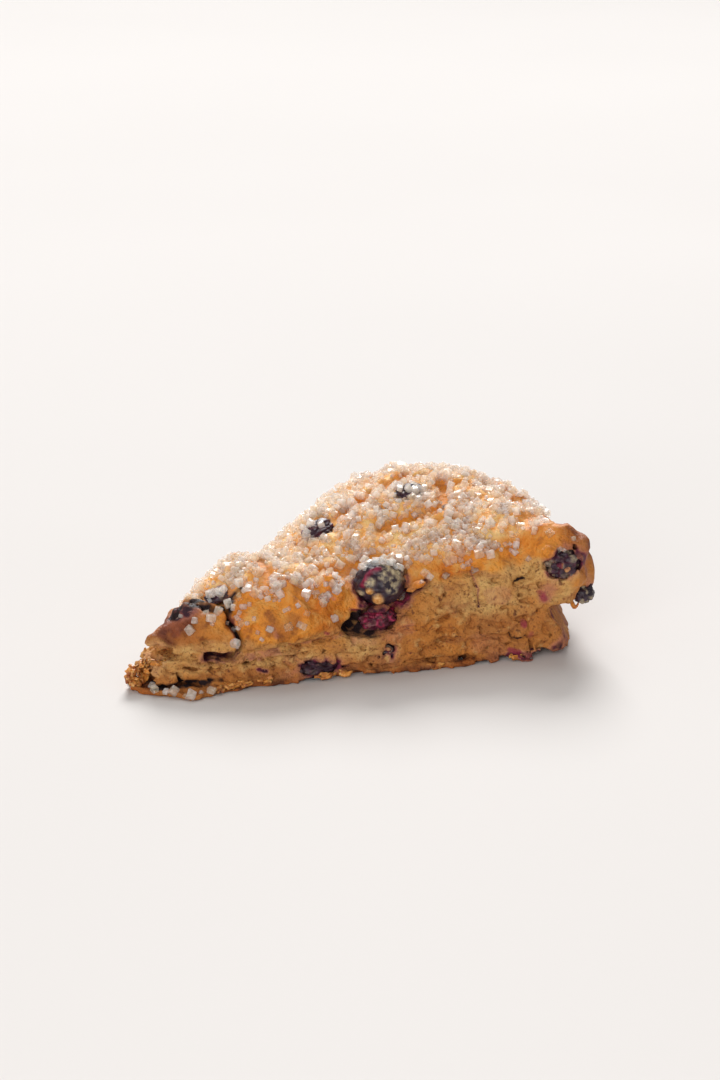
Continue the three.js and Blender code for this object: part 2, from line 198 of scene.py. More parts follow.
# Fresh juice: points (along, z) of a path, half width
FRONT_JUICE = (
    (((44.2, 13.9), (47.6, 13.1)), 0.45),
    (((49.6, 13.6), (52.6, 12.6)), 0.8),
    (((54.6, 13.2), (57.6, 15.4)), 0.6),
    (((83.2, 8.5), (83.5, 8.1)), 0.7),
    (((85, 5.8), (85.3, 4.8)), 0.7),
    (((87.4, 14.6), (88, 13.8)), 0.9),
    (((37.4, 10.4), (38.2, 10.2)), 0.35),
    (((80.2, 2.4), (82.4, 1.8)), 0.5),
)

# Painted shade in the crack, the hollows beside the torn berry, the crevice by the flap and the gap
# along the base of the front cut side, and dark fruit skin there: points (along, z) of a path, half width
FRONT_SHADE_AND_SKIN = (
    (((80.1, 6.2), (80.9, 4.9), (82.4, 4.6), (83.8, 5.3)), 0.25),
    # painted shade down the crack, and in the hollow at its top
    (((17, 13.4), (18.3, 11.8), (18.9, 9.4), (18.5, 7.4), (17, 6.6)), 0.45),
    (((16.8, 17.4), (17.4, 16.2)), 0.5),
    # painted shade in the hollows beside the torn berry
    (((43.4, 10), (48.6, 9.8)), 1.5),
    (((45.4, 11.6), (46.4, 12.6)), 1),
    # painted shade in the gap along the base under the point
    (((-1, 1.6), (6, 1.9), (14, 1.7)), 0.7),
    # painted shade in the crevice beside the flap
    (((82, 17.1), (84.5, 17.7)), 0.2),
    (((92, 23.2), (94, 22.6)), 0.8),
    (((89.6, 20.2), (91.4, 19.6)), 0.7),
)

# Dark skin of buried fruit showing through the crust, and painted shade in the hollow beside the crack:
# points (x, y) of a path, half width
TOP_DARK = (
    (((6.4, 1.2), (10.9, 0.4), (13.3, -0.4)), 1),
    (((9.6, -0.8), (13.6, -3), (16.6, -6.2)), 1.1),
    # painted shade in the hollow beside the crack
    (((15.2, -4.2), (20.4, -4.9)), 0.8),
    (((90.4, -14.6), (92.6, -14.9)), 0.6),
    (((73.2, -10.7), (76.4, -8.6)), 0.5),
)

# Hollows behind the torn berry: centre and radii
HOLLOWS = (
    (POCKET_CENTRE, POCKET_RADII),
    (front(45.8, 1.6, 10.3), (3.6, 6, 2)),
    (front(46.3, 1.6, 12.4), (1.8, 4, 1.8)),
)


# Blends, noise and distances, for whole arrays; p is the three coordinates x, y and z
def smooth_max(a, b, width):
    t = np.clip(0.5 + 0.5 * (a - b) / width, 0, 1)
    return b + (a - b) * t + width * t * (1 - t)


def smooth_min(a, b, width):
    return -smooth_max(-a, -b, width)


def step(low, high, value):
    t = np.clip((value - low) / (high - low), 0, 1)
    return t * t * (3 - 2 * t)


def lattice(x, y, z, seed):
    h = (x.astype(np.uint32) * np.uint32(374761393) + y.astype(np.uint32) * np.uint32(668265263)
         + z.astype(np.uint32) * np.uint32(2147483647) + np.uint32(seed * 974634777 & 0xFFFFFFFF))
    h = (h ^ (h >> np.uint32(13))) * np.uint32(1274126177)
    h = (h ^ (h >> np.uint32(16))) * np.uint32(2246822519)
    return (h ^ (h >> np.uint32(15))).astype(np.float64) / 4294967296


def noise(x, y, z, seed):
    """Smooth value noise from -1 to 1 on a lattice of step 1."""
    floors = [np.floor(v) for v in (x, y, z)]
    cell = [v.astype(np.int64) for v in floors]
    part = [v - low for v, low in zip((x, y, z), floors)]
    weight = [t * t * t * (t * (t * 6 - 15) + 10) for t in part]
    total = 0
    for i, j, k in product((0, 1), repeat=3):
        share = ((weight[0] if i else 1 - weight[0]) * (weight[1] if j else 1 - weight[1])
                 * (weight[2] if k else 1 - weight[2]))
        total = total + share * lattice(cell[0] + i, cell[1] + j, cell[2] + k, seed)
    return total * 2 - 1


def grain(p, size, seed):
    """Noise on a lattice of the given step."""
    return noise(p[0] / size, p[1] / size, p[2] / size, seed)


def ellipsoid(p, centre, radii):
    q = np.sqrt(sum(((p[i] - centre[i]) / radii[i]) ** 2 for i in range(3)))
    return (q - 1) * min(radii)


def cone(p, a, b, radius_a, radius_b):
    ab = np.subtract(b, a)
    t = np.clip(sum((p[i] - a[i]) * ab[i] for i in range(3)) / (ab @ ab), 0, 1)
    off = np.sqrt(sum((p[i] - a[i] - t * ab[i]) ** 2 for i in range(3)))
    return off - radius_a - (radius_b - radius_a) * t


def near_path(u, v, points, width):
    """1 on a path of flat points, falling to 0 over the width beside it."""
    away = np.inf
    for a, b in zip(points, points[1:]):
        du, dv = b[0] - a[0], b[1] - a[1]
        t = np.clip(((u - a[0]) * du + (v - a[1]) * dv) / (du * du + dv * dv), 0, 1)
        away = np.minimum(away, np.hypot(u - a[0] - t * du, v - a[1] - t * dv))
    return np.exp(-np.maximum(away - 0.5 * width, 0) ** 2 / (0.7 * width) ** 2)


def near_paths(u, v, rows):
    """Share of the strongest path. A row has its points, half width and, in some lists, strength."""
    share = np.zeros(len(u))
    for points, width, *strength in rows:
        share = np.maximum(share, near_path(u, v, points, width) * (strength[0] if strength else 1))
    return share


# Places on the wedge
def along_front(p):
    return p[0] * COS - p[1] * SIN


def beyond_front(p):
    return -p[0] * SIN - p[1] * COS - TIP_HALF


def beyond_back(p):
    return -p[0] * SIN + p[1] * COS - TIP_HALF


def beyond_rim(p):
    return np.hypot(p[0] - RIM_CENTRE, p[1]) - RIM_RADIUS


def crust_height(p):
    x, y = p[0], p[1]
    half = TIP_HALF + np.maximum(x, 0) * SIN / COS
    drop = np.where(y > 0, BACK_DROP, FRONT_DROP) * step(-6, 60, x)
    return np.interp(x, RIDGE_X, RIDGE_Z) - drop * np.abs(y / half) ** 2.2


def near_top(p):
    return step(-6, 1, p[2] - crust_height(p))


def crust_share(p):
    """1 on the browned crust, 0 on the torn crumb of the two cut sides."""
    x, y, z = p
    side = np.where(y < 0, along_front(p), x * COS + y * SIN)
    wander = 1.3 * grain(p, 5, 21) + 0.6 * grain(p, 1.7, 22)
    above = step(-0.8, 1, z - np.interp(side, CRUST_ALONG, CRUST_LOWEST) + wander)
    return np.maximum(above, step(-4.5, -2, beyond_rim(p) + wander))


# Form of the dough, negative inside
def lower_layer(p):
    """The lower layer, and its outline seen from above."""
    x, z = p[0], p[2]
    along = along_front(p)
    bottom_crust = 1.5 * (1 - step(0.4, 2.6, z))
    plan = smooth_max(beyond_front(p) + 0.2, beyond_back(p), 2.5)
    plan = smooth_max(plan, beyond_rim(p) + 1, RIM_CORNER)
    plan = smooth_max(plan, -x - 2.9 + 0.38 * z, 3) - bottom_crust
    top = LAYER_TOP - 1.0 * step(2, 17, along) + 7 * step(20, 60, x)
    lift = (2.2 * (1 - step(2, 24, x)) * step(-7, -1, plan)
            + 2.6 * step(78, 92, along) * step(-14, -3, plan))
    return smooth_max(smooth_max(plan, z - top, 2), lift - z, 1), plan


def upper_layer(p):
    x, z = p[0], p[2]
    along = along_front(p)
    inset = 3.6 * (1 - step(0, 17, x))
    lobe = 2.2 * np.exp(-(((along - 32) / 13) ** 2)) * np.exp(-(((z - 16) / 7) ** 2))
    crust_edge = step(48, 64, along) * step(18.5, 20.5, z)
    plan = smooth_max(beyond_front(p) + inset - lobe - crust_edge, beyond_back(p) + inset - 0.5, 3)
    plan = smooth_max(plan, beyond_rim(p), RIM_CORNER)
    plan = smooth_max(plan, -x + 1, 3)
    upper = smooth_max(plan + 0.6, z - crust_height(p), SHOULDER)
    beak_end = cone(p, BEAK_TIP, BEAK_MIDDLE, *BEAK_RADII[:2])
    beak_back = cone(p, BEAK_MIDDLE, BEAK_ROOT, *BEAK_RADII[1:])
    upper = smooth_min(upper, smooth_min(beak_end, beak_back, 0.6), 2)
    return smooth_max(upper, np.interp(x, UNDERSIDE_X, UNDERSIDE_Z) - z, 0.8)


def main_form(p):
    lower, plan = lower_layer(p)
    core = smooth_max(plan + 5.5, np.abs(p[2] - 8) - 5, 2)
    shape = smooth_min(lower, upper_layer(p), 0.4 + 2.6 * step(18, 55, along_front(p)))
    return smooth_min(smooth_min(shape, core, 1.5), ellipsoid(p, KNOB_CENTRE, KNOB_RADII), 3)


def add_relief(p, shape):
    """Bumps and blisters of the crust, layers and pits of the crumb, and the ragged base."""
    x, y, z = p
    along = along_front(p)
    on_top = near_top(p)
    furrow = np.exp(-((grain(p, 11, 5) / 0.13) ** 2))
    shape = shape + 0.8 * grain(p, 15, 1)
    shape = shape + (0.4 + 0.5 * on_top) * grain(p, 6.5, 2) + 0.9 * on_top * furrow

    crust = crust_share(p)
    crumb = 1 - crust
    bent = z / 1.5 + 0.3 * grain((along, y, z), 9, 30)
    layers = noise(along / 6, beyond_front(p) / 4, bent, 31)
    thin_layers = noise(along / 2.6, y / 2.6, z / 0.8, 29)
    pits = np.maximum(noise(x / 1.5, y / 1.5, z / 1.2, 32) - 0.22, 0)
    layered = 1 - 0.6 * step(35, 58, along)
    shape = shape + crumb * (layered * (0.8 * layers + 0.5 * thin_layers) + 2.8 * pits)
    shape = shape + 0.5 * crumb * grain(p, 0.95, 33)
    shape = shape + crust * (0.7 * grain(p, 3.1, 34) + 0.3 * grain(p, 1.3, 35))
    ragged_base = 0.8 * noise(x / 2.8, y / 2.8, 0 * z, 36) + 0.4 * grain(p, 1, 37)
    return shape + (1 - step(0.6, 2.4, z)) * ragged_base


def add_lumps(p, shape):
    uneven = 0.25 * grain(p, 1.2, 40)
    for centre, radii in LUMPS:
        shape = smooth_min(shape, ellipsoid(p, centre, radii) + uneven, 0.9)
    return shape


def cut_folds(p, shape):
    wander = 0.5 * grain(p, 2, 50)
    top = (p[0] + wander, p[1] - wander, near_top(p), TOP_FURROWS)
    side = (along_front(p) + wander, p[2] - 0.5 * wander, step(-11, -8, beyond_front(p)), FRONT_FOLDS)
    for u, v, share, rows in (top, side):
        for points, width, depth in rows:
            shape = shape + share * depth * near_path(u, v, points, width)
    return shape


def hollow_out(p, shape, forms, uneven, width):
    for centre, radii, *_ in forms:
        shape = smooth_max(shape, uneven - ellipsoid(p, centre, radii), width)
    return shape


def cut_hollows(p, shape):
    """The pocket of the torn berry, and the notch under the knob."""
    x, y, z = p
    rough = 0.3 * grain(p, 1.6, 46)
    shape = hollow_out(p, shape, HOLLOWS, rough, 0.8)
    to_corner = x * NOTCH_TOWARD[0] + y * NOTCH_TOWARD[1] - NOTCH_START
    notch = smooth_max(z - NOTCH_CEILING, NOTCH_FLOOR - NOTCH_SLOPE * to_corner - z, 1.5)
    return smooth_max(shape, -smooth_max(notch, -to_corner, 1) + rough, 1)


def add_skirt(p, shape):
    """The thin ragged skirt at the point, and the drip under the knob."""
    x, y, z = p
    along, before = along_front(p), beyond_front(p)
    spread = smooth_max(before - np.interp(along, SKIRT_ALONG, SKIRT_REACH), -before - 9, 2)
    spread = smooth_max(smooth_max(spread, -x - 3.7, 2), along - 24, 2)
    ragged = spread + 0.9 * grain(p, 4, 4) + 0.7 * grain(p, 1.6, 38)
    thickness = 1.0 + 0.6 * noise(x / 2.2, y / 2.2, 0 * z, 39)
    shape = smooth_min(shape, smooth_max(ragged, z - thickness, 0.4), 0.5)
    return smooth_min(shape, ellipsoid(p, DRIP_CENTRE, DRIP_RADII), 0.4)


def cut_sockets(p, shape):
    patchy = 1.3 * grain(p, 2.1, 47) + 0.5 * grain(p, 0.9, 48)
    return hollow_out(p, shape, BERRIES.values(), patchy, 0.5)


def detailed_form(p, shape):
    for change in (add_relief, add_lumps, cut_folds, cut_hollows, add_skirt, cut_sockets):
        shape = change(p, shape)
    return np.maximum(shape, -p[2])


# Surface of a field sampled over a block of cells
CORNERS = tuple(product((0, 1), repeat=3))


def crossing_middles(field, cells):
    """Mean place, within each cell, where the cell's edges cross the surface."""
    values = {c: field[cells[:, 0] + c[0], cells[:, 1] + c[1], cells[:, 2] + c[2]] for c in CORNERS}
    points = np.zeros((len(cells), 3))
    count = np.zeros(len(cells))
    for a, axis in product(CORNERS, range(3)):
        if a[axis]:
            continue
        b = tuple(1 if i == axis else a[i] for i in range(3))
        change = (values[a] < 0) != (values[b] < 0)
        share = np.where(change, values[a] / np.where(change, values[a] - values[b], 1), 0)
        point = np.tile(np.array(a, float), (len(cells), 1))
        point[:, axis] += share
        points += point * change[:, None]
        count += change
    return points / count[:, None]


def edge_quads(inside, index, axis):
    """A quad, facing out, round each edge along an axis that crosses the surface."""
    here = tuple(slice(0 if i == axis else 1, -1) for i in range(3))
    there = tuple(slice(1, None if i == axis else -1) for i in range(3))
    edges = np.argwhere(inside[here] != inside[there]) + [0 if i == axis else 1 for i in range(3)]
    u, v = np.eye(3, dtype=int)[[(axis + 1) % 3, (axis + 2) % 3]]
    ring = [edges - u - v, edges - v, edges, edges - u]
    quads = np.stack([index[c[:, 0], c[:, 1], c[:, 2]] for c in ring], 1)
    starts_inside = inside[edges[:, 0], edges[:, 1], edges[:, 2]]
    quads[~starts_inside] = quads[~starts_inside][:, ::-1]
    return quads


def surface_nets(field, origin, cell):
    """Points and outward quads of the zero level of a sampled field, negative inside."""
    inside = field < 0
    size = [n - 1 for n in field.shape]
    windows = [tuple(slice(c[i], c[i] + size[i]) for i in range(3)) for c in CORNERS]
    total = sum(inside[window].astype(np.int8) for window in windows)
    crossed = (total > 0) & (total < len(CORNERS))
    cells = np.argwhere(crossed)
    index = np.full(crossed.shape, -1, np.int64)
    index[crossed] = np.arange(len(cells))
    points = (cells + crossing_middles(field, cells)) * cell + origin
    return points, np.concatenate([edge_quads(inside, index, axis) for axis in range(3)])


def make_dough_surface():
    low, high = (np.array(v, float) for v in REACH)
    axes = [np.arange(low[i], high[i], DOUGH_CELL) for i in range(3)]
    p = np.meshgrid(*axes, indexing="ij")
    field = main_form(p)
    near = np.abs(field) < RELIEF_REACH
    field[near] = detailed_form([v[near] for v in p], field[near])
    below = axes[2] < 0
    field[:, :, below] = np.abs(field[:, :, below]) + 0.01
    return surface_nets(field, low, DOUGH_CELL)


# Where the shaping frame lies in the row frame: most berries keep their middles
def find_shift():
    offsets = []
    for name, berry in BERRIES.items():
        low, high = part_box(name)
        offsets.append(np.array((low + high) / 2) / MM - np.array(berry[0]))
    return np.median(offsets, axis=0)


SHIFT = find_shift()


def to_row(points):
    return (np.asarray(points, float) + SHIFT) * MM


CAMERA_AZIMUTH, CAMERA_ELEVATION, CAMERA_DISTANCE = -39.5, 17.5, 0.72
LENS, SENSOR, AIM = 100, 36, (82.4, 29.2, 10)


def view_direction(azimuth, elevation):
    """From what is looked at towards the camera: azimuth 0 looks along +y."""
    a, e = math.radians(azimuth), math.radians(elevation)
    return Vector((math.sin(a) * math.cos(e), -math.cos(a) * math.cos(e), math.sin(e)))


TO_CAMERA = view_direction(CAMERA_AZIMUTH, CAMERA_ELEVATION)
RIGHT = np.array((math.cos(math.radians(CAMERA_AZIMUTH)), math.sin(math.radians(CAMERA_AZIMUTH)), 0))


# Mesh and node helpers
def link_object(name, data):
    obj = bpy.data.objects.new(name, data)
    bpy.context.scene.collection.objects.link(obj)
    return obj


def new_object(name, points, faces, smooth=True):
    mesh = bpy.data.meshes.new(name)
    mesh.from_pydata([tuple(p) for p in to_row(points)], [], [tuple(int(i) for i in f) for f in faces])
    mesh.polygons.foreach_set("use_smooth", [smooth] * len(mesh.polygons))
    return link_object(name, mesh)


def join(pieces):
    all_points, all_faces, base = [], [], 0
    for points, faces in pieces:
        all_points.append(points)
        all_faces += [[base + i for i in face] for face in faces]
        base += len(points)
    return np.concatenate(all_points), all_faces


def add_value(obj, name, values):
    attribute = obj.data.attributes.new(name, "FLOAT", "POINT")
    attribute.data.foreach_set("value", np.asarray(values, np.float32))


def linear(triple):
    """Linear colour from an sRGB triple of 0 to 255."""
    shares = (v / 255 for v in triple)
    return (*(v / 12.92 if v <= 0.04045 else ((v + 0.055) / 1.055) ** 2.4 for v in shares), 1)


class Nodes:
    def __init__(self, name):
        self.material = bpy.data.materials.new(name)
        self.material.use_nodes = True
        self.tree = self.material.node_tree

    def set(self, target, value):
        if isinstance(value, bpy.types.NodeSocket):
            self.tree.links.new(value, target)
        else:
            target.default_value = value

    def use(self, kind, output, inputs, **settings):
        node = self.tree.nodes.new("ShaderNode" + kind)
        for key, value in settings.items():
            setattr(node, key, value)
        for key, value in inputs.items():
            self.set(node.inputs[key], value)
        return node.outputs[output]

    def position(self):
        return self.use("TexCoord", "Object", {})

    def value(self, name):
        return self.use("Attribute", "Fac", {}, attribute_name=name)

    def noise(self, scale, detail=4, roughness=0.55, stretch=None):
        place = self.position()
        if stretch is not None:
            turned = {"Vector": place, "Scale": stretch, "Rotation": (0, 0, HALF_ANGLE)}
            place = self.use("Mapping", "Vector", turned)
        inputs = {"Vector": place, "Scale": scale, "Detail": detail, "Roughness": roughness}
        return self.use("TexNoise", "Fac", inputs)

    def cells(self, scale):
        return self.use("TexVoronoi", "Distance", {"Vector": self.position(), "Scale": scale})

    def ramp(self, source, low, high, start=0, end=1):
        inputs = {"Value": source, "From Min": low, "From Max": high, "To Min": start, "To Max": end}
        return self.use("MapRange", "Result", inputs)

    def math(self, operation, a, b):
        return self.use("Math", 0, {0: a, 1: b}, operation=operation)

    def mix(self, share, a, b):
        """A mix of two colours, each an output or an sRGB triple of 0 to 255."""
        a, b = (linear(colour) if isinstance(colour, tuple) else colour for colour in (a, b))
        return self.use("Mix", 2, {0: share, 6: a, 7: b}, data_type="RGBA")

    def layers(self, colour, rows):
        """A colour with others over it: source, low and high of a ramp, greatest share, triple."""
        for source, low, high, most, over in rows:
            colour = self.mix(self.ramp(source, low, high, 0, most), colour, over)
        return colour

    def bump(self, height, strength, distance, **below):
        inputs = {"Strength": strength, "Distance": distance, "Height": height, **below}
        return self.use("Bump", "Normal", inputs)

    def finish(self, **inputs):
        shader = self.tree.nodes["Principled BSDF"]
        for key, value in inputs.items():
            self.set(shader.inputs[key.replace("_", " ")], value)
        return self.material


# Materials
def crumb_colour(m, broad, medium, fine):
    crumb = m.mix(m.value("pale"), (182, 118, 60), (214, 168, 102))
    return m.layers(crumb, (
        (broad, 0.4, 0.62, 0.6, (202, 126, 48)),
        (m.noise(240, 4, 0.6, stretch=(0.35, 1, 2.4)), 0.52, 0.68, 0.6, (164, 104, 62)),
        (medium, 0.56, 0.72, 0.6, (228, 186, 118)),
        (fine, 0.44, 0.3, 0.85, (128, 70, 34)),
        (m.noise(800, 2, 0.4), 0.36, 0.26, 0.8, (100, 54, 32)),
    ))


def crust_colour(m, broad, medium):
    skin = m.mix(m.ramp(broad, 0.35, 0.65), (236, 156, 56), (212, 120, 30))
    skin = m.layers(skin, ((medium, 0.5, 0.7, 1, (226, 164, 84)), (medium, 0.46, 0.3, 0.75, (138, 68, 24))))
    browned = m.mix(m.ramp(medium, 0.35, 0.65), (102, 46, 24), (152, 78, 40))
    return m.mix(m.value("brown"), skin, browned)


def juice_colour(m, colour, medium):
    stain_and_shade = m.value("stain_and_shade")
    flesh = m.mix(m.ramp(medium, 0.42, 0.6), (58, 22, 36), (112, 34, 58))
    flesh = m.layers(flesh, ((m.noise(620, 3), 0.58, 0.68, 0.8, (196, 128, 108)),))
    colour = m.layers(colour, ((stain_and_shade, 0.12, 0.5, 0.5, (196, 126, 104)),))
    # the strongest shares turn to berry flesh: juice, and the painted shadow under the crust lip
    colour = m.mix(m.ramp(stain_and_shade, 0.45, 0.95), colour, flesh)
    return m.layers(colour, (
        (m.value("juice"), 0.25, 1, 0.8, (148, 40, 66)),
        # near-black: painted shade in cracks, hollows and gaps of the front, and dark fruit skin
        (m.value("shade_and_skin"), 0.25, 0.75, 1, (34, 15, 18)),
    ))


def dough_material():
    m = Nodes("baked_dough")
    crust = m.value("crust")
    broad = m.noise(90, 3)
    medium = m.noise(330, 4)
    fine = m.noise(1500, 3, 0.6)
    colour = m.mix(crust, crumb_colour(m, broad, medium, fine), crust_colour(m, broad, medium))
    mottled = m.ramp(medium, 0.4, 0.6)
    # golden crust under the sugar, painted lighter as if lit through the crystals
    lit_moist_crust = m.mix(mottled, (246, 176, 84), (255, 220, 150))
    colour = m.mix(m.math("MULTIPLY", m.value("moist_and_lit"), 0.85), colour, lit_moist_crust)
    colour = m.mix(m.value("base"), colour, m.mix(mottled, (92, 46, 24), (170, 96, 40)))
    colour = m.mix(m.value("amber"), colour, m.mix(mottled, (232, 148, 44), (180, 92, 26)))
    colour = juice_colour(m, colour, medium)

    height = m.math("ADD", m.math("MULTIPLY", medium, 0.5), m.math("MULTIPLY", fine, 0.5))
    pores = m.ramp(m.cells(900), 0, 0.35)
    normal = m.bump(pores, 0.4, 0.0005, Normal=m.bump(height, 0.9, 0.0014))
    rough = m.ramp(crust, 0, 1, 0.85, 0.58)
    return m.finish(Base_Color=colour, Roughness=rough, Normal=normal, Specular_IOR_Level=0.35,
                    Subsurface_Weight=0.08, Subsurface_Radius=(0.004, 0.002, 0.001), Subsurface_Scale=0.4)


def berry_material():
    m = Nodes("berry_skin")
    bloom, tear_and_highlight, paste = (m.value(n) for n in ("bloom", "tear_and_highlight", "paste"))
    medium = m.noise(420, 4)
    fine = m.noise(1700, 3)
    skin = m.mix(m.ramp(medium, 0.35, 0.65), (30, 18, 30), (58, 34, 50))
    skin = m.mix(m.ramp(fine, 0.55, 0.75, 0, 0.3), skin, (92, 80, 94))
    dust = m.mix(m.ramp(fine, 0.35, 0.65), (150, 136, 116), (206, 186, 144))
    skin = m.mix(m.math("MULTIPLY", bloom, m.ramp(medium, 0.42, 0.56)), skin, dust)
    flesh = m.mix(m.ramp(medium, 0.4, 0.62), (112, 10, 44), (176, 44, 84))
    # torn flesh, and on the large berry a painted magenta highlight along the rim
    skin = m.mix(tear_and_highlight, skin, flesh)
    skin = m.mix(paste, skin, m.mix(m.ramp(fine, 0.4, 0.6), (206, 140, 70), (232, 180, 116)))
    return m.finish(Base_Color=skin, Roughness=m.ramp(medium, 0.3, 0.7, 0.3, 0.6),
                    Normal=m.bump(m.math("ADD", medium, m.math("MULTIPLY", fine, 0.4)), 0.6, 0.0006),
                    Specular_IOR_Level=0.45)


def sugar_material():
    m = Nodes("sugar_crystal")
    warm = m.value("warm")
    cloud = m.noise(900, 3)
    colour = m.mix(warm, (255, 239, 224), (255, 203, 156))
    alpha = m.math("ADD", m.ramp(warm, -1, 1, 0.7, 0.2), m.ramp(cloud, 0.35, 0.65, -0.1, 0.16))
    return m.finish(Base_Color=colour, Roughness=m.ramp(cloud, 0.3, 0.7, 0.05, 0.25), Alpha=alpha,
                    Normal=m.bump(cloud, 0.08, 0.0004), Specular_IOR_Level=0.7,
                    Subsurface_Weight=0.9, Subsurface_Radius=(0.004, 0.0036, 0.003), Subsurface_Scale=1)


def flake_material():
    m = Nodes("crisp_flake")
    medium = m.noise(500, 4)
    colour = m.mix(m.ramp(medium, 0.4, 0.6), (224, 148, 66), (150, 80, 32))
    colour = m.mix(m.ramp(m.noise(1100, 3), 0.54, 0.66, 0, 0.7), colour, (244, 194, 116))
    return m.finish(Base_Color=colour, Roughness=0.5, Normal=m.bump(medium, 0.5, 0.0005),
                    Subsurface_Weight=0.15, Subsurface_Radius=(0.003, 0.0015, 0.0006), Subsurface_Scale=0.5)


# What colours the dough: shares from 0 to 1 for places p on its surface
def on_front_side(p):
    return step(-11, -7, beyond_front(p))


def blots(p):
    return 0.8 + 0.5 * grain(p, 2, 41) + 0.3 * grain(p, 0.8, 42)


def stain_and_shade_share(p):
    """Crumb coloured by the berries, by juice that ran from them and by a faint haze, and painted shadow
    under the crust lip.
    """
    x, y, z = p
    uneven = 0.75 + 0.5 * grain(p, 2.4, 65)
    stain_and_shade = on_front_side(p) * near_paths(along_front(p), z, FRONT_STAINS_AND_SHADE)
    for centre, radii, *_ in BERRIES.values():
        away = np.maximum(ellipsoid(p, centre, radii), 0)
        stain_and_shade = np.maximum(stain_and_shade, uneven * np.exp(-(away / 0.6) ** 2) + 0.25 * np.exp(-(away / 2.6) ** 2))
    haze = 0.3 * (1 - crust_share(p)) * step(0.25, 0.6, noise(x / 7, y / 7, z / 5, 43))
    return np.maximum(stain_and_shade * blots(p), haze)


def juice_share(p):
    return on_front_side(p) * near_paths(along_front(p), p[2], FRONT_JUICE) * blots(p)


def shade_and_skin_share(p):
    """Painted shade in cracks, hollows and gaps of the front and dark fruit skin there, except on the
    skirt; dark skin in the crust, and painted shade in a hollow of it.
    """
    x, y, z = p
    out_of_skirt = 1 - step(0.4, 1.6, beyond_front(p)) * (z < 3)
    front_shade_and_skin = on_front_side(p) * out_of_skirt * near_paths(along_front(p), z, FRONT_SHADE_AND_SKIN)
    shade_and_skin = np.maximum(front_shade_and_skin, near_top(p) * near_paths(x, y, TOP_DARK))
    return shade_and_skin * (0.85 + 0.4 * grain(p, 1, 49))


def brown_share(p):
    x, y, z = p
    bend = 2.5 * grain(p, 5, 67)
    patch = grain((x + bend, y - bend, z + bend), 8, 44) + 0.4 * grain(p, 2.4, 68)
    brown = np.maximum(1 - step(9, 18, x), step(-9, -1, beyond_rim(p)) * 0.9)
    return brown * (0.75 + 0.35 * patch) + 0.45 * step(0.2, 0.6, patch)


def furrow_share(p):
    return near_top(p) * near_paths(p[0], p[1], FURROW_PATHS)


def moist_and_lit_share(p):
    """Moist golden crust under the dense sugar, painted lighter as if lit through the crystals, less of it
    in the furrows.
    """
    inland = step(6, 10, -beyond_front(p)) * (1 - step(-16, -8, beyond_rim(p))) * step(6, 18, p[0])
    return (1 - 0.7 * furrow_share(p)) * 0.9 * near_top(p) * inland


def pale_share(p):
    """Paler crumb: low down on the left of the front, higher up on the right."""
    along, z = along_front(p), p[2]
    pale = step(9.5, 13, z) * step(54, 66, along) + (1 - step(44, 54, along)) * step(3, 5, z)
    return pale * (0.75 + 0.6 * grain(p, 4, 64))


def base_share(p):
    """Brown base with a ragged upper edge, fainter on the skirt."""
    at_skirt = (1 - step(8, 18, along_front(p))) * step(0, 1.5, beyond_front(p))
    return (1 - 0.7 * at_skirt) * (1 - step(0.6, 2, p[2] + 0.5 * grain(p, 2.5, 45)))


def amber_share(p):
    """The drip, the heaped crumbs beside the point, and furrows of the crust."""
    x, z = p[0], p[2]
    drip = np.exp(-(np.maximum(ellipsoid(p, DRIP_CENTRE, DRIP_RADII), 0) / 0.5) ** 2)
    crumbs = (1 - step(-5, -3.6, x)) * (1 - step(5, 6, z))
    return np.maximum(drip, 0.5 * crumbs) + 0.8 * furrow_share(p) * step(20, 34, x)


DOUGH_SHARES = {
    "crust": crust_share, "stain_and_shade": stain_and_shade_share, "juice": juice_share,
    "shade_and_skin": shade_and_skin_share, "brown": brown_share, "moist_and_lit": moist_and_lit_share,
    "pale": pale_share, "base": base_share, "amber": amber_share,
}


def build_dough():
    points, quads = make_dough_surface()
    obj = new_object("dough_visual", points, quads)
    for name, share in DOUGH_SHARES.items():
        add_value(obj, name, np.clip(share(points.T), 0, 1))
    obj.data.materials.append(dough_material())
    return obj, points, quads


# Berries
def unit_berry(rings=48, sides=72):
    """A sphere of radius 1 with a point at either end."""
    points = [(0, 0, 1)]
    for i, j in product(range(1, rings), range(sides)):
        polar, turn = math.pi * i / rings, 2 * math.pi * j / sides
        points.append((math.sin(polar) * math.cos(turn), math.sin(polar) * math.sin(turn), math.cos(polar)))
    points.append((0, 0, -1))
    faces = [(0, 1 + j, 1 + (j + 1) % sides) for j in range(sides)]
    for i, j in product(range(rings - 2), range(sides)):
        a, b = 1 + i * sides + j, 1 + i * sides + (j + 1) % sides
        faces.append((a, a + sides, b + sides, b))
    last, bottom = 1 + (rings - 2) * sides, len(points) - 1
    faces += [(bottom, last + (j + 1) % sides, last + j) for j in range(sides)]
    return np.array(points), faces


# What shows on the large berry as seen from the front: sideways and upward in berry radii, radius
BLOOM_MARKS = (
    (-0.35, 0.05, 0.2), (0.13, 0.3, 0.15), (0.46, 0, 0.24), (0.48, -0.28, 0.18), (0.8, 0.22, 0.2),
    (0.64, 0.5, 0.2), (-0.76, -0.45, 0.14), (0.2, 0.6, 0.2),
)
PASTE_MARKS = ((-0.33, -0.34, 0.13), (-0.02, -0.66, 0.18))
# a magenta arc along the upper left rim, painted as a highlight in the colour of torn flesh: points
# sideways and upward, half width
TEAR_HIGHLIGHT_ARC, TEAR_HIGHLIGHT_WIDTH = ((-0.62, -0.1), (-0.52, 0.17), (-0.38, 0.39), (-0.2, 0.53), (0.02, 0.57)), 0.07


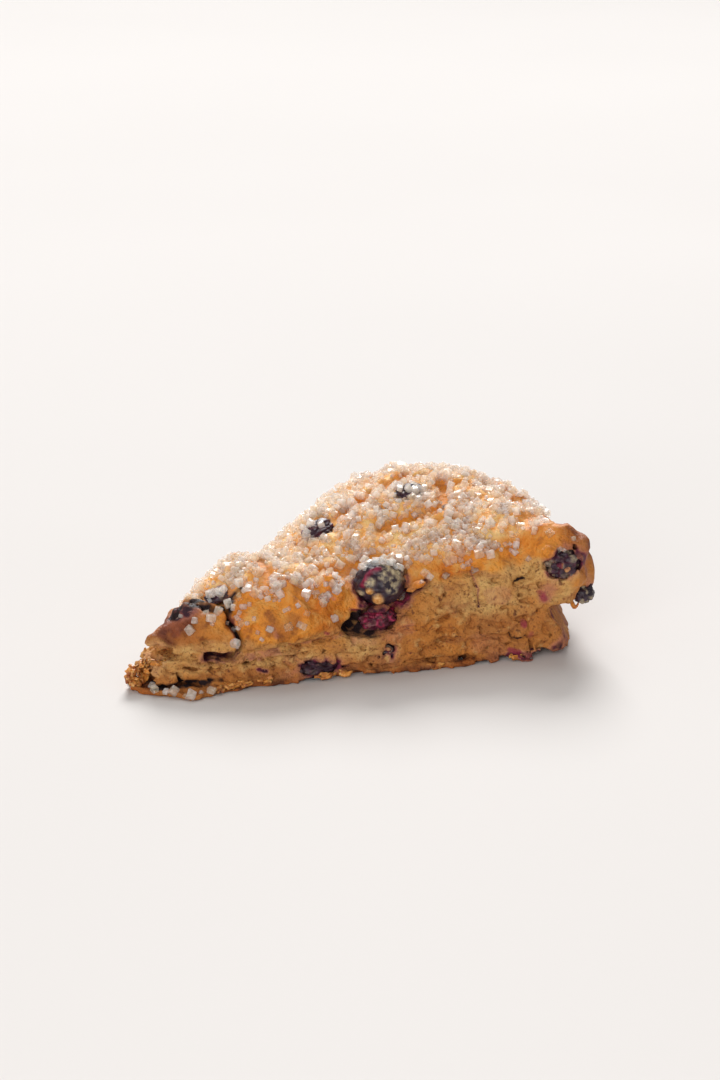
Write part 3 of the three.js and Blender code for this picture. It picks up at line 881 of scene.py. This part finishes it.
def mark_share(sideways, upward, toward, marks):
    share = np.zeros(len(sideways))
    for a, b, radius in marks:
        share = np.maximum(share, 1.4 * np.exp(-(np.hypot(sideways - a, upward - b) / radius) ** 4))
    return np.clip(share, 0, 1) * (toward > -0.1)


def seen_by_camera(sphere):
    """How far sideways, upward and towards the camera the points of a unit sphere lie."""
    toward = sphere @ np.array(TO_CAMERA)
    upward = sphere[:, 2] - toward * math.sin(math.radians(CAMERA_ELEVATION))
    return sphere @ RIGHT, upward, toward


def berry_reach(sphere, number, wrinkle, torn, seen):
    x, y, z = sphere.T
    folds = np.abs(noise(x * 2.2 + number, y * 2.2, z * 2.2, 51))
    dents = noise(x * 1.3, y * 1.3 + number, z * 1.3, 52)
    reach = 1 - wrinkle * (0.3 * (1 - folds) ** 5 + 0.16 * dents)
    reach = reach + (0.05 + 0.12 * torn) * noise(x * 5, y * 5 + number, z * 5, 53)
    reach = reach + 0.02 * noise(x * 12, y * 12, z * 12, 55)
    sideways, upward, toward = seen
    crown = np.hypot(sideways - 0.05, upward - 0.05)
    return reach - 0.1 * (1 - wrinkle) * (toward > 0) * np.exp(-(crown / 0.24) ** 2)


def marks_of_large_berry(seen):
    """Shares of bloom, of torn flesh colour painted as a magenta highlight along the upper left rim, and of
    paste, at the places that the photo shows.
    """
    sideways, upward, toward = seen
    tear_and_highlight = near_path(sideways, upward, TEAR_HIGHLIGHT_ARC, TEAR_HIGHLIGHT_WIDTH) * (toward > 0)
    return mark_share(*seen, BLOOM_MARKS), tear_and_highlight, mark_share(*seen, PASTE_MARKS)


def random_marks(sphere, number, torn):
    x, y, z = sphere.T
    bloom = step(0, 0.3, noise(x * 3 + number, y * 3, z * 3, 56))
    tear_and_highlight = torn * (0.25 + np.exp(-(noise(x * 2 + number, y * 2, z * 2, 54) / 0.12) ** 2))
    return bloom, tear_and_highlight, np.zeros(len(x))


def build_berry(name, number):
    centre, radii, tilt, wrinkle, dusty, torn = BERRIES[name]
    sphere, faces = unit_berry()
    seen = seen_by_camera(sphere)
    reach = berry_reach(sphere, number, wrinkle, torn, seen)
    if name == "front_berry":
        bloom, tear_and_highlight, paste = marks_of_large_berry(seen)
        reach = reach + 0.07 * paste
        reach = reach + 0.05 * tear_and_highlight
    else:
        bloom, tear_and_highlight, paste = random_marks(sphere, number, torn)
    shaped = sphere * reach[:, None] * np.array(radii)
    turn = np.array(Euler((0, math.radians(tilt), 0)).to_matrix())
    obj = new_object(name + "_visual", shaped @ turn.T + np.array(centre), faces)
    for mark, share in (("bloom", dusty * 1.4 * bloom), ("tear_and_highlight", tear_and_highlight), ("paste", paste)):
        add_value(obj, mark, np.clip(share, 0, 1))
    return obj


# Sugar crystals
def unit_crystal():
    """A cube with bevelled edges: 24 points, and a face for each of the 26 ways out of it."""
    inner = 0.5 - CRYSTAL_BEVEL
    points = np.array([[sign * (0.5 if i == axis else inner) for i, sign in enumerate(signs)]
                       for signs in product((-1, 1), repeat=3) for axis in range(3)])
    faces = []
    for way in product((-1, 0, 1), repeat=3):
        if any(way):
            reach = points @ way
            ring = np.flatnonzero(reach > reach.max() - 1e-6)
            across = np.cross(way, points[ring[0]])
            offsets = points[ring] - points[ring].mean(0)
            turn = np.arctan2(offsets @ np.cross(way, across), offsets @ across * np.linalg.norm(way))
            faces.append(ring[np.argsort(turn)].tolist())
    return points, faces


# Where the dense sugar begins: places along the front cut side and depths behind it
SUGAR_ALONG = (8, 18, 24, 32, 40, 46, 56, 64, 76, 90)
SUGAR_DEPTH = (4.5, 5, 5.2, 5, 5.6, 7.6, 7.6, 6.6, 6.2, 6.2)
SUGAR_END = (40.5, 43)  # where it thins out to nothing, right of what the camera aims at
LOBE_SUGAR = 0.014  # share of it on the side of the lobe behind the beak
FURROW_SUGAR = 0.02  # share of it in the furrows


def sugar_density(p, normal):
    x, y, z = p
    depth = -beyond_front(p)
    along = along_front(p)
    sideways = RIGHT[0] * (x - AIM[0]) + RIGHT[1] * (y - AIM[1])
    wander = 2.0 * grain(p, 6, 62)
    on_top = step(-9, -5, z - crust_height(p)) * step(0.15, 0.5, normal[2])
    edge = step(-1.2, 1.6, depth - np.interp(along, SUGAR_ALONG, SUGAR_DEPTH) + wander)
    lobe_side = LOBE_SUGAR * step(4, 14, along) * (1 - step(44, 48, along)) * step(11, 13, z)
    heaps = grain(p, 7, 61) + 0.5 * grain(p, 2.6, 66)
    clumps = 0.16 + 0.84 * step(-0.3, 0.2, heaps)
    bare = 1 - np.minimum(1.3 * near_paths(x, y, FURROW_PATHS), 1 - FURROW_SUGAR)
    covered = on_top * np.maximum(edge * clumps, lobe_side) * bare * step(4, 8, z)
    thinner = 1 - 0.55 * step(28, 36, sideways) * step(0, 14, depth)
    return covered * thinner * step(9, 17, x) * (1 - step(*SUGAR_END, sideways))


def quad_places(points, quads):
    """Middles, unit normals and relative areas of the quads."""
    a, b, c, d = (points[quads[:, i]] for i in range(4))
    cross = np.cross(c - a, d - b)
    area = np.linalg.norm(cross, axis=1)
    return (a + b + c + d) / 4, cross / np.maximum(area, 1e-9)[:, None], area


def scattered_places(middles, normals, area, random):
    """Random places on the dough, by area and density, no two closer than the spacing."""
    weight = area * sugar_density(middles.T, normals.T)
    for centre, radii, *_ in BERRIES.values():
        weight = weight * (ellipsoid(middles.T, centre, radii) > 0.9)
    chosen = random.choice(len(area), size=CRYSTAL_COUNT * 8, p=weight / weight.sum())
    placed, grid = [], {}
    for number in chosen:
        place = middles[number]
        key = tuple(np.floor(place / CRYSTAL_SPACING).astype(int))
        around = [q for i, j, k in product((-1, 0, 1), repeat=3)
                  for q in grid.get((key[0] + i, key[1] + j, key[2] + k), ())]
        if any(np.sum((q - place) ** 2) < CRYSTAL_SPACING ** 2 for q in around):
            continue
        grid.setdefault(key, []).append(place)
        placed.append((place, normals[number]))
        if len(placed) >= CRYSTAL_COUNT:
            break
    return placed


# Single crystals away from the dense sugar: (along, z) on the front side, or (x, y) over the crust
FRONT_CRYSTALS = (
    (7.2, 15.1), (9.8, 14.7), (8.4, 12.4), (12.8, 15), (13.2, 14), (14.1, 17.3), (15.9, 16.7),
    (15, 16), (18.4, 16.8), (19, 15.9), (18.5, 15), (19.2, 14.2), (18.6, 13.2), (17.4, 10.4),
    (12, 6.6), (25, 12.6), (31.8, 13), (39.8, 13), (37.8, 16.1), (22.5, 11.7), (23.3, 10.3),
    (46.6, 23), (48.4, 23.8), (50.2, 24.2), (52, 24.3), (53.8, 24.2), (55.4, 23.8), (57, 22.8),
    (58.2, 21.6), (29.7, 16.4), (66.5, 19.4), (70.8, 20.9), (85.7, 22), (59.9, 19.7), (61.7, 20.2),
    (63, 19.6), (77.1, 22.8), (91.5, 24.9), (92.4, 24.5), (90.1, 27.8), (95.2, 26.4), (20.4, 14.2),
    (21.6, 15), (34.4, 17.4), (41, 18.6),
)
SKIRT_CRYSTALS = (
    (-1.6, -2.1), (-3, -4.8), (-1.1, -6.5), (-0.2, -8), (0.2, -10.8), (1.6, -11.6), (4.5, -11.8),
    (6.1, -12.6), (-4.4, 1), (-5, 2.3),
)

# Crystals on berries: first and last angle round the edge, how far in from it, count
BERRY_CRYSTALS = (
    ("front_berry", 35, 140, 0.2, 18),
    ("top_berry", 20, 170, 0.5, 10),
    ("crack_berry", 40, 150, 0.6, 8),
    ("ridge_berry", 40, 165, 0.5, 8),
    ("ridge_berry", 200, 340, 0.35, 7),
)


def single_places(middles, normals):
    x, y, z = p = middles.T
    along, depth = along_front(p), -beyond_front(p)
    found = []
    for place_along, place_z in FRONT_CRYSTALS:
        miss = np.hypot(along - place_along, z - place_z) + 0.06 * depth + 9 * (depth > 14)
        found.append(np.argmin(miss))
    for place_x, place_y in SKIRT_CRYSTALS:
        miss = np.hypot(x - place_x, y - place_y) + 3 * (normals[:, 2] < 0.3) + 9 * (z > 3.5)
        found.append(np.argmin(miss))
    return [(middles[i], normals[i]) for i in found]


def berry_places(name, low_angle, high_angle, spread, count, random):
    """Places over the edge of a berry as the camera sees it, from one angle round it to another."""
    centre, radii = (np.array(v) for v in BERRIES[name][:2])
    toward = np.array(TO_CAMERA)
    up = np.cross(toward, RIGHT)
    up *= math.copysign(1, up[2])
    places = []
    for _ in range(count):
        angle = math.radians(random.uniform(low_angle, high_angle))
        out = random.uniform(1 - spread, 1)
        normal = (RIGHT * math.cos(angle) + up * math.sin(angle)) * out + toward * math.sqrt(1 - out * out)
        places.append((centre + normal * radii, normal))
    return places


def crystal_points(cube, place, normal, random):
    smallest, largest = CRYSTAL_SIZE
    size = smallest + (largest - smallest) * random.uniform() ** 1.5
    size = size * np.array([1, random.uniform(0.75, 1), random.uniform(0.65, 1)])
    tilt = Vector(normal).to_track_quat("Z", "Y").to_matrix()
    spin = Euler(tuple(random.uniform(-0.8, 0.8, 2)) + (random.uniform(0, math.pi),)).to_matrix()
    jitter = 1 + random.uniform(-CRYSTAL_JITTER, CRYSTAL_JITTER, cube.shape)
    shaped = (cube * jitter * size) @ np.array(tilt @ spin).T
    lift = random.uniform(0.05, 0.6) * size.min()
    shaped = shaped + place + normal * lift
    shaped[:, 2] = np.maximum(shaped[:, 2], LOWEST)
    return shaped


def build_sugar(points, quads):
    random = np.random.default_rng(SEED)
    cube, cube_faces = unit_crystal()
    middles, normals, area = quad_places(points, quads)
    scattered = scattered_places(middles, normals, area, random)
    on_berries = []
    for row in BERRY_CRYSTALS:
        on_berries += berry_places(*row, random)
    on_dough = scattered + single_places(middles, normals)
    pieces, warm = [], []
    for number, (place, normal) in enumerate(on_dough + on_berries):
        pieces.append((crystal_points(cube, place, normal, random), cube_faces))
        tint = np.clip(random.normal(0.4, 0.3), 0, 1) if number < len(on_dough) else 0.1
        warm.append(np.full(len(cube), tint))
    obj = new_object("sugar_crystals", *join(pieces), smooth=False)
    add_value(obj, "warm", np.concatenate(warm))
    obj.data.materials.append(sugar_material())
    return obj


# Crisp flakes broken off the base: centre, length, width, turn about z, slope in degrees
FLAKES = (
    ((-2.4, 1.2, 5.4), 3.4, 1.6, 60, 78),
    ((-0.8, 1.4, 5.4), 2.8, 2, 20, 70),
    ((0.6, 0.6, 5.2), 3, 2.2, 110, 62),
    ((-2.6, 1.4, 3.8), 3.4, 2.6, 40, 74),
    ((-1.4, 0.6, 4), 3.6, 2.4, 80, 64),
    ((-1.8, 1.4, 2.6), 3.4, 2.8, 10, 50),
    ((-2.6, 2.6, 4.4), 3, 2.4, 130, 70),
    ((0.6, -1.4, 5.9), 3.6, 2.4, 150, 14),
    ((-3.8, 1.6, 2.8), 2.6, 2.2, 70, 45),
    ((11.6, -12.6, 1), 4, 2.2, -20, 12),
    ((14.4, -13.6, 1.2), 3.6, 2.2, -30, 18),
    ((19.4, -15, 1.4), 4, 2, -20, 25),
    ((9, -12.4, 0.8), 2.8, 1.8, 30, 10),
    ((32, -20.2, 0.9), 4.8, 1.8, -24, 15),
    ((36.4, -21.6, 0.8), 3.4, 1.8, -24, 20),
    ((72.4, -37.2, 0.8), 3.8, 1.8, -24, 12),
    ((55, -30, 0.7), 4.4, 1.6, -24, 8),
)

# Rounded crumbs heaped beside the point: centre and radius
CRUMBS = (
    ((-5, 1.6, 4.4), 0.7), ((-4.4, 1.2, 4), 0.75), ((-5, 1.8, 3.2), 0.7), ((-4.2, 1.8, 3.3), 0.8),
    ((-4.6, 2.2, 2.4), 0.9), ((-3.9, 2.4, 2.4), 0.9), ((-4.3, 2, 1.6), 0.8), ((-3.4, 2.6, 1.5), 1),
    ((-4.2, 1, 1.6), 0.8), ((-3.5, 1, 1.4), 0.9),
)


FLAKE_SIDE = 9  # points along one side of a flake's grid


def flake_faces():
    side, under = FLAKE_SIDE, FLAKE_SIDE ** 2
    cells = [[i * side + j, (i + 1) * side + j, (i + 1) * side + j + 1, i * side + j + 1]
             for i, j in product(range(side - 1), repeat=2)]
    rim = ([i * side for i in range(side)] + [side * side - side + j for j in range(1, side)]
           + [i * side + side - 1 for i in range(side - 2, -1, -1)] + list(range(side - 2, 0, -1)))
    underside = [[under + i for i in cell[::-1]] for cell in cells]
    band = [[b, a, under + a, under + b] for a, b in zip(rim, rim[1:] + rim[:1])]
    return cells + underside + band


def flake_points(number, centre, length, width, turn, slope):
    grid = np.linspace(-1, 1, FLAKE_SIDE)
    u, v = (g.ravel() for g in np.meshgrid(grid, grid, indexing="ij"))
    ragged = 0.85 + 0.35 * noise(1.6 * u + number, 1.6 * v, 0 * u, 71)
    ragged = ragged + 0.3 * noise(4 * u, 4 * v, 0 * u, 76)
    square = np.maximum(np.abs(u), np.abs(v)) / np.maximum(np.hypot(u, v), 1e-6)
    flat = np.stack([u * square * ragged * length / 2, v * square * ragged * width / 2], 1)
    height = 0.5 * noise(1.5 * u + number, 1.5 * v, 0 * u, 72) + 0.25 * u * u
    thick = 0.28 + 0.1 * noise(3 * u, 3 * v + number, 0 * u, 73)
    halves = [np.column_stack([flat, height + thick]), np.column_stack([flat, height - thick])]
    turned = Euler((math.radians(slope), 0, math.radians(turn)), "XYZ").to_matrix()
    shaped = np.concatenate(halves) @ np.array(turned).T + np.array(centre)
    shaped[:, 2] = np.maximum(shaped[:, 2], LOWEST)
    return shaped


def crumb_points(sphere, number, centre, radius):
    u, v, w = (sphere * 1.7 + number).T
    uneven = 1 + 0.45 * noise(u, v, w, 74) + 0.35 * noise(2.3 * u, 2.3 * v, 2.3 * w, 75)
    return sphere * (radius * uneven)[:, None] + np.array(centre)


def build_flakes():
    faces = flake_faces()
    pieces = [(flake_points(number, *row), faces) for number, row in enumerate(FLAKES)]
    sphere, sphere_faces = unit_berry(12, 18)
    pieces += [(crumb_points(sphere, number, *row), sphere_faces) for number, row in enumerate(CRUMBS)]
    obj = new_object("crisp_flakes", *join(pieces))
    obj.data.materials.append(flake_material())
    return obj


# Assemble
dough, dough_points, dough_quads = build_dough()
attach(dough, "root")

skin = berry_material()
for number, name in enumerate(BERRIES):
    berry = build_berry(name, number)
    berry.data.materials.append(skin)
    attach(berry, "root")
    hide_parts(name)

sugar = build_sugar(dough_points, dough_quads)
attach(sugar, "root")
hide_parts("dough")

flakes = build_flakes()
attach(flakes, "root")


# Floor, light and camera
FLOOR_HALF = 6.0
LIGHT_AIM = Vector((0, 0, 0.015))
SUN_POWER, SUN_ANGLE, SUN_ELEVATION = 3.2, 25, 33
LAMPS = {  # azimuth from the camera's, elevation, distance, size, power
    "overhead": (185, 56, 1.7, 1.4, 11),
    "fill": (-18, 15, 1.6, 1.3, 14),
}
WORLD_COLOUR, WORLD_POWER = (1, 0.985, 0.975, 1), 0.36


def build_floor():
    mesh = bpy.data.meshes.new("floor")
    half = FLOOR_HALF
    corners = [(-half, -half, 0), (half, -half, 0), (half, half, 0), (-half, half, 0)]
    mesh.from_pydata(corners, [], [(0, 1, 2, 3)])
    floor = link_object("floor", mesh)
    m = Nodes("pale_floor")
    tint = m.mix(m.ramp(m.noise(3, 2), 0.3, 0.7), (210, 206, 203), (213, 209, 206))
    mesh.materials.append(m.finish(Base_Color=tint, Roughness=0.9))


def look(obj, aim, away):
    obj.location = aim + away
    obj.rotation_euler = (aim - obj.location).to_track_quat("-Z", "Y").to_euler()


def build_camera():
    data = bpy.data.cameras.new("camera")
    data.lens = LENS
    data.sensor_width = SENSOR
    data.clip_start = 0.01
    camera = link_object("camera", data)
    look(camera, Vector(to_row(AIM)), TO_CAMERA * CAMERA_DISTANCE)
    bpy.context.scene.camera = camera


def build_lamp(name, turn, elevation, distance, size, power):
    light = bpy.data.lights.new(name, "AREA")
    light.shape = "DISK"
    light.size = size
    light.energy = power
    away = view_direction(CAMERA_AZIMUTH + turn, elevation) * distance
    look(link_object(name, light), LIGHT_AIM, away)


def build_light():
    """A low soft light from behind, a wide one overhead, a low fill in front and a pale surround."""
    window = bpy.data.lights.new("window", "SUN")
    window.energy = SUN_POWER
    window.angle = math.radians(SUN_ANGLE)
    from_behind = view_direction(CAMERA_AZIMUTH + 180, SUN_ELEVATION)
    link_object("window", window).rotation_euler = from_behind.to_track_quat("Z", "Y").to_euler()
    for name, lamp in LAMPS.items():
        build_lamp(name, *lamp)
    world = bpy.data.worlds.new("studio")
    bpy.context.scene.world = world
    world.use_nodes = True
    background = world.node_tree.nodes["Background"].inputs
    background["Color"].default_value = WORLD_COLOUR
    background["Strength"].default_value = WORLD_POWER
    bpy.context.scene.view_settings.view_transform = "Standard"


build_floor()
build_light()
build_camera()
